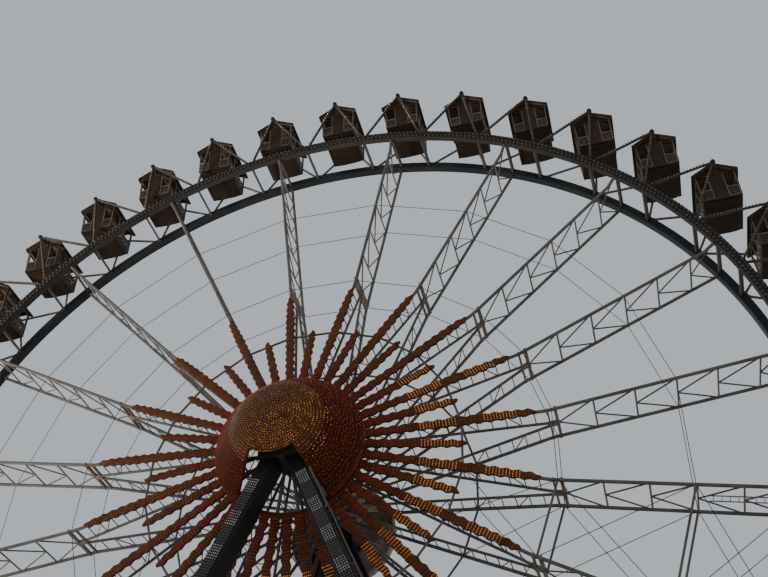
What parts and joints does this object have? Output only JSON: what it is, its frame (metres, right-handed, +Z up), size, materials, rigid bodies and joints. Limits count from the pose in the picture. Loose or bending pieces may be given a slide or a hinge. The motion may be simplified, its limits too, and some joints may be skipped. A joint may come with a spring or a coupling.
{
  "type": "ferris wheel, 1:2 scale model",
  "caption": "Transportable ferris wheel on two A-shaped stands, with level hanging cabins, lattice spokes and a sun of flame rays at the hub.",
  "frame": {"origin": "on the ground, midway between the four legs, straight below the hub", "axes": "+Z up; the wheel turns about Y, and the sun dome faces -Y; +X to the right seen from the front"},
  "size_m": [24.025, 7.95, 24.991],
  "materials": {
    "stand_paint": "dark blue-black paint, satin",
    "base_paint": "dark grey paint, matt",
    "ring_paint": "dark blue-grey paint, satin",
    "spoke_steel": "taupe grey paint over galvanised steel",
    "ray_red": "red flame panels set with small bulbs",
    "sun_red": "red and gold dome set with small bulbs",
    "cover_grey": "plain grey cover",
    "cabin_wood": "stained boards with pale window frames"
  },
  "bodies": {
    "stand": {"base_frame": "base_paint", "leg_front_left": "stand_paint", "leg_front_right": "stand_paint", "leg_rear_left": "stand_paint", "leg_rear_right": "stand_paint", "head_front": "stand_paint", "head_rear": "stand_paint", "sun_dome": "sun_red", "rear_cover": "cover_grey"},
    "wheel": {"hub_axle": "spoke_steel", "front_ring": "ring_paint", "rear_ring": "ring_paint", "front_zigzag": "spoke_steel", "rear_zigzag": "spoke_steel", "sun_rays": "ray_red", "spokes_1": "spoke_steel", "spokes_2": "spoke_steel", "spokes_3": "spoke_steel", "spokes_4": "spoke_steel"},
    "cabin_01_body": {"cabin_01": "cabin_wood"},
    "cabin_02_body": {"cabin_02": "cabin_wood"},
    "cabin_03_body": {"cabin_03": "cabin_wood"},
    "cabin_04_body": {"cabin_04": "cabin_wood"},
    "cabin_05_body": {"cabin_05": "cabin_wood"},
    "cabin_06_body": {"cabin_06": "cabin_wood"},
    "cabin_07_body": {"cabin_07": "cabin_wood"},
    "cabin_08_body": {"cabin_08": "cabin_wood"},
    "cabin_09_body": {"cabin_09": "cabin_wood"},
    "cabin_10_body": {"cabin_10": "cabin_wood"},
    "cabin_11_body": {"cabin_11": "cabin_wood"},
    "cabin_12_body": {"cabin_12": "cabin_wood"},
    "cabin_13_body": {"cabin_13": "cabin_wood"},
    "cabin_14_body": {"cabin_14": "cabin_wood"},
    "cabin_15_body": {"cabin_15": "cabin_wood"},
    "cabin_16_body": {"cabin_16": "cabin_wood"},
    "cabin_17_body": {"cabin_17": "cabin_wood"},
    "cabin_18_body": {"cabin_18": "cabin_wood"},
    "cabin_19_body": {"cabin_19": "cabin_wood"},
    "cabin_20_body": {"cabin_20": "cabin_wood"},
    "cabin_21_body": {"cabin_21": "cabin_wood"},
    "cabin_22_body": {"cabin_22": "cabin_wood"},
    "cabin_23_body": {"cabin_23": "cabin_wood"},
    "cabin_24_body": {"cabin_24": "cabin_wood"},
    "cabin_25_body": {"cabin_25": "cabin_wood"},
    "cabin_26_body": {"cabin_26": "cabin_wood"},
    "cabin_27_body": {"cabin_27": "cabin_wood"},
    "cabin_28_body": {"cabin_28": "cabin_wood"},
    "cabin_29_body": {"cabin_29": "cabin_wood"},
    "cabin_30_body": {"cabin_30": "cabin_wood"},
    "cabin_31_body": {"cabin_31": "cabin_wood"},
    "cabin_32_body": {"cabin_32": "cabin_wood"},
    "cabin_33_body": {"cabin_33": "cabin_wood"},
    "cabin_34_body": {"cabin_34": "cabin_wood"},
    "cabin_35_body": {"cabin_35": "cabin_wood"},
    "cabin_36_body": {"cabin_36": "cabin_wood"},
    "cabin_37_body": {"cabin_37": "cabin_wood"},
    "cabin_38_body": {"cabin_38": "cabin_wood"},
    "cabin_39_body": {"cabin_39": "cabin_wood"},
    "cabin_40_body": {"cabin_40": "cabin_wood"}
  },
  "joints": [
    {"name": "wheel_turn", "type": "hinge", "parent": "stand", "child": "wheel", "pos_m": [0, 0, 13.3], "axis": [0, 1, 0], "continuous": true},
    {"name": "cabin_01_pivot", "type": "hinge", "parent": "wheel", "child": "cabin_01_body", "pos_m": [-7.5406, 0, 21.9959], "axis": [0, 1, 0], "continuous": true},
    {"name": "cabin_02_pivot", "type": "hinge", "parent": "wheel", "child": "cabin_02_body", "pos_m": [-6.0874, 0, 23.0685], "axis": [0, 1, 0], "continuous": true},
    {"name": "cabin_03_pivot", "type": "hinge", "parent": "wheel", "child": "cabin_03_body", "pos_m": [-4.4844, 0, 23.9005], "axis": [0, 1, 0], "continuous": true},
    {"name": "cabin_04_pivot", "type": "hinge", "parent": "wheel", "child": "cabin_04_body", "pos_m": [-2.7709, 0, 24.4715], "axis": [0, 1, 0], "continuous": true},
    {"name": "cabin_05_pivot", "type": "hinge", "parent": "wheel", "child": "cabin_05_body", "pos_m": [-0.9892, 0, 24.7674], "axis": [0, 1, 0], "continuous": true},
    {"name": "cabin_06_pivot", "type": "hinge", "parent": "wheel", "child": "cabin_06_body", "pos_m": [0.8169, 0, 24.781], "axis": [0, 1, 0], "continuous": true},
    {"name": "cabin_07_pivot", "type": "hinge", "parent": "wheel", "child": "cabin_07_body", "pos_m": [2.6029, 0, 24.5118], "axis": [0, 1, 0], "continuous": true},
    {"name": "cabin_08_pivot", "type": "hinge", "parent": "wheel", "child": "cabin_08_body", "pos_m": [4.3248, 0, 23.9666], "axis": [0, 1, 0], "continuous": true},
    {"name": "cabin_09_pivot", "type": "hinge", "parent": "wheel", "child": "cabin_09_body", "pos_m": [5.9401, 0, 23.1587], "axis": [0, 1, 0], "continuous": true},
    {"name": "cabin_10_pivot", "type": "hinge", "parent": "wheel", "child": "cabin_10_body", "pos_m": [7.4093, 0, 22.1081], "axis": [0, 1, 0], "continuous": true},
    {"name": "cabin_11_pivot", "type": "hinge", "parent": "wheel", "child": "cabin_11_body", "pos_m": [8.6959, 0, 20.8406], "axis": [0, 1, 0], "continuous": true},
    {"name": "cabin_12_pivot", "type": "hinge", "parent": "wheel", "child": "cabin_12_body", "pos_m": [9.7685, 0, 19.3874], "axis": [0, 1, 0], "continuous": true},
    {"name": "cabin_13_pivot", "type": "hinge", "parent": "wheel", "child": "cabin_13_body", "pos_m": [10.6005, 0, 17.7844], "axis": [0, 1, 0], "continuous": true},
    {"name": "cabin_14_pivot", "type": "hinge", "parent": "wheel", "child": "cabin_14_body", "pos_m": [11.1715, 0, 16.0709], "axis": [0, 1, 0], "continuous": true},
    {"name": "cabin_15_pivot", "type": "hinge", "parent": "wheel", "child": "cabin_15_body", "pos_m": [11.4674, 0, 14.2892], "axis": [0, 1, 0], "continuous": true},
    {"name": "cabin_16_pivot", "type": "hinge", "parent": "wheel", "child": "cabin_16_body", "pos_m": [11.481, 0, 12.4831], "axis": [0, 1, 0], "continuous": true},
    {"name": "cabin_17_pivot", "type": "hinge", "parent": "wheel", "child": "cabin_17_body", "pos_m": [11.2118, 0, 10.6971], "axis": [0, 1, 0], "continuous": true},
    {"name": "cabin_18_pivot", "type": "hinge", "parent": "wheel", "child": "cabin_18_body", "pos_m": [10.6666, 0, 8.9752], "axis": [0, 1, 0], "continuous": true},
    {"name": "cabin_19_pivot", "type": "hinge", "parent": "wheel", "child": "cabin_19_body", "pos_m": [9.8587, 0, 7.3599], "axis": [0, 1, 0], "continuous": true},
    {"name": "cabin_20_pivot", "type": "hinge", "parent": "wheel", "child": "cabin_20_body", "pos_m": [8.8081, 0, 5.8907], "axis": [0, 1, 0], "continuous": true},
    {"name": "cabin_21_pivot", "type": "hinge", "parent": "wheel", "child": "cabin_21_body", "pos_m": [7.5406, 0, 4.6041], "axis": [0, 1, 0], "continuous": true},
    {"name": "cabin_22_pivot", "type": "hinge", "parent": "wheel", "child": "cabin_22_body", "pos_m": [6.0874, 0, 3.5315], "axis": [0, 1, 0], "continuous": true},
    {"name": "cabin_23_pivot", "type": "hinge", "parent": "wheel", "child": "cabin_23_body", "pos_m": [4.4844, 0, 2.6995], "axis": [0, 1, 0], "continuous": true},
    {"name": "cabin_24_pivot", "type": "hinge", "parent": "wheel", "child": "cabin_24_body", "pos_m": [2.7709, 0, 2.1285], "axis": [0, 1, 0], "continuous": true},
    {"name": "cabin_25_pivot", "type": "hinge", "parent": "wheel", "child": "cabin_25_body", "pos_m": [0.9892, 0, 1.8326], "axis": [0, 1, 0], "continuous": true},
    {"name": "cabin_26_pivot", "type": "hinge", "parent": "wheel", "child": "cabin_26_body", "pos_m": [-0.8169, 0, 1.819], "axis": [0, 1, 0], "continuous": true},
    {"name": "cabin_27_pivot", "type": "hinge", "parent": "wheel", "child": "cabin_27_body", "pos_m": [-2.6029, 0, 2.0882], "axis": [0, 1, 0], "continuous": true},
    {"name": "cabin_28_pivot", "type": "hinge", "parent": "wheel", "child": "cabin_28_body", "pos_m": [-4.3248, 0, 2.6334], "axis": [0, 1, 0], "continuous": true},
    {"name": "cabin_29_pivot", "type": "hinge", "parent": "wheel", "child": "cabin_29_body", "pos_m": [-5.9401, 0, 3.4413], "axis": [0, 1, 0], "continuous": true},
    {"name": "cabin_30_pivot", "type": "hinge", "parent": "wheel", "child": "cabin_30_body", "pos_m": [-7.4093, 0, 4.4919], "axis": [0, 1, 0], "continuous": true},
    {"name": "cabin_31_pivot", "type": "hinge", "parent": "wheel", "child": "cabin_31_body", "pos_m": [-8.6959, 0, 5.7594], "axis": [0, 1, 0], "continuous": true},
    {"name": "cabin_32_pivot", "type": "hinge", "parent": "wheel", "child": "cabin_32_body", "pos_m": [-9.7685, 0, 7.2126], "axis": [0, 1, 0], "continuous": true},
    {"name": "cabin_33_pivot", "type": "hinge", "parent": "wheel", "child": "cabin_33_body", "pos_m": [-10.6005, 0, 8.8156], "axis": [0, 1, 0], "continuous": true},
    {"name": "cabin_34_pivot", "type": "hinge", "parent": "wheel", "child": "cabin_34_body", "pos_m": [-11.1715, 0, 10.5291], "axis": [0, 1, 0], "continuous": true},
    {"name": "cabin_35_pivot", "type": "hinge", "parent": "wheel", "child": "cabin_35_body", "pos_m": [-11.4674, 0, 12.3108], "axis": [0, 1, 0], "continuous": true},
    {"name": "cabin_36_pivot", "type": "hinge", "parent": "wheel", "child": "cabin_36_body", "pos_m": [-11.481, 0, 14.1169], "axis": [0, 1, 0], "continuous": true},
    {"name": "cabin_37_pivot", "type": "hinge", "parent": "wheel", "child": "cabin_37_body", "pos_m": [-11.2118, 0, 15.9029], "axis": [0, 1, 0], "continuous": true},
    {"name": "cabin_38_pivot", "type": "hinge", "parent": "wheel", "child": "cabin_38_body", "pos_m": [-10.6666, 0, 17.6248], "axis": [0, 1, 0], "continuous": true},
    {"name": "cabin_39_pivot", "type": "hinge", "parent": "wheel", "child": "cabin_39_body", "pos_m": [-9.8587, 0, 19.2401], "axis": [0, 1, 0], "continuous": true},
    {"name": "cabin_40_pivot", "type": "hinge", "parent": "wheel", "child": "cabin_40_body", "pos_m": [-8.8081, 0, 20.7093], "axis": [0, 1, 0], "continuous": true}
  ],
  "couplings": [
    {"joint": "cabin_01_pivot", "follows": "wheel_turn", "ratio": -1},
    {"joint": "cabin_02_pivot", "follows": "wheel_turn", "ratio": -1},
    {"joint": "cabin_03_pivot", "follows": "wheel_turn", "ratio": -1},
    {"joint": "cabin_04_pivot", "follows": "wheel_turn", "ratio": -1},
    {"joint": "cabin_05_pivot", "follows": "wheel_turn", "ratio": -1},
    {"joint": "cabin_06_pivot", "follows": "wheel_turn", "ratio": -1},
    {"joint": "cabin_07_pivot", "follows": "wheel_turn", "ratio": -1},
    {"joint": "cabin_08_pivot", "follows": "wheel_turn", "ratio": -1},
    {"joint": "cabin_09_pivot", "follows": "wheel_turn", "ratio": -1},
    {"joint": "cabin_10_pivot", "follows": "wheel_turn", "ratio": -1},
    {"joint": "cabin_11_pivot", "follows": "wheel_turn", "ratio": -1},
    {"joint": "cabin_12_pivot", "follows": "wheel_turn", "ratio": -1},
    {"joint": "cabin_13_pivot", "follows": "wheel_turn", "ratio": -1},
    {"joint": "cabin_14_pivot", "follows": "wheel_turn", "ratio": -1},
    {"joint": "cabin_15_pivot", "follows": "wheel_turn", "ratio": -1},
    {"joint": "cabin_16_pivot", "follows": "wheel_turn", "ratio": -1},
    {"joint": "cabin_17_pivot", "follows": "wheel_turn", "ratio": -1},
    {"joint": "cabin_18_pivot", "follows": "wheel_turn", "ratio": -1},
    {"joint": "cabin_19_pivot", "follows": "wheel_turn", "ratio": -1},
    {"joint": "cabin_20_pivot", "follows": "wheel_turn", "ratio": -1},
    {"joint": "cabin_21_pivot", "follows": "wheel_turn", "ratio": -1},
    {"joint": "cabin_22_pivot", "follows": "wheel_turn", "ratio": -1},
    {"joint": "cabin_23_pivot", "follows": "wheel_turn", "ratio": -1},
    {"joint": "cabin_24_pivot", "follows": "wheel_turn", "ratio": -1},
    {"joint": "cabin_25_pivot", "follows": "wheel_turn", "ratio": -1},
    {"joint": "cabin_26_pivot", "follows": "wheel_turn", "ratio": -1},
    {"joint": "cabin_27_pivot", "follows": "wheel_turn", "ratio": -1},
    {"joint": "cabin_28_pivot", "follows": "wheel_turn", "ratio": -1},
    {"joint": "cabin_29_pivot", "follows": "wheel_turn", "ratio": -1},
    {"joint": "cabin_30_pivot", "follows": "wheel_turn", "ratio": -1},
    {"joint": "cabin_31_pivot", "follows": "wheel_turn", "ratio": -1},
    {"joint": "cabin_32_pivot", "follows": "wheel_turn", "ratio": -1},
    {"joint": "cabin_33_pivot", "follows": "wheel_turn", "ratio": -1},
    {"joint": "cabin_34_pivot", "follows": "wheel_turn", "ratio": -1},
    {"joint": "cabin_35_pivot", "follows": "wheel_turn", "ratio": -1},
    {"joint": "cabin_36_pivot", "follows": "wheel_turn", "ratio": -1},
    {"joint": "cabin_37_pivot", "follows": "wheel_turn", "ratio": -1},
    {"joint": "cabin_38_pivot", "follows": "wheel_turn", "ratio": -1},
    {"joint": "cabin_39_pivot", "follows": "wheel_turn", "ratio": -1},
    {"joint": "cabin_40_pivot", "follows": "wheel_turn", "ratio": -1}
  ]
}
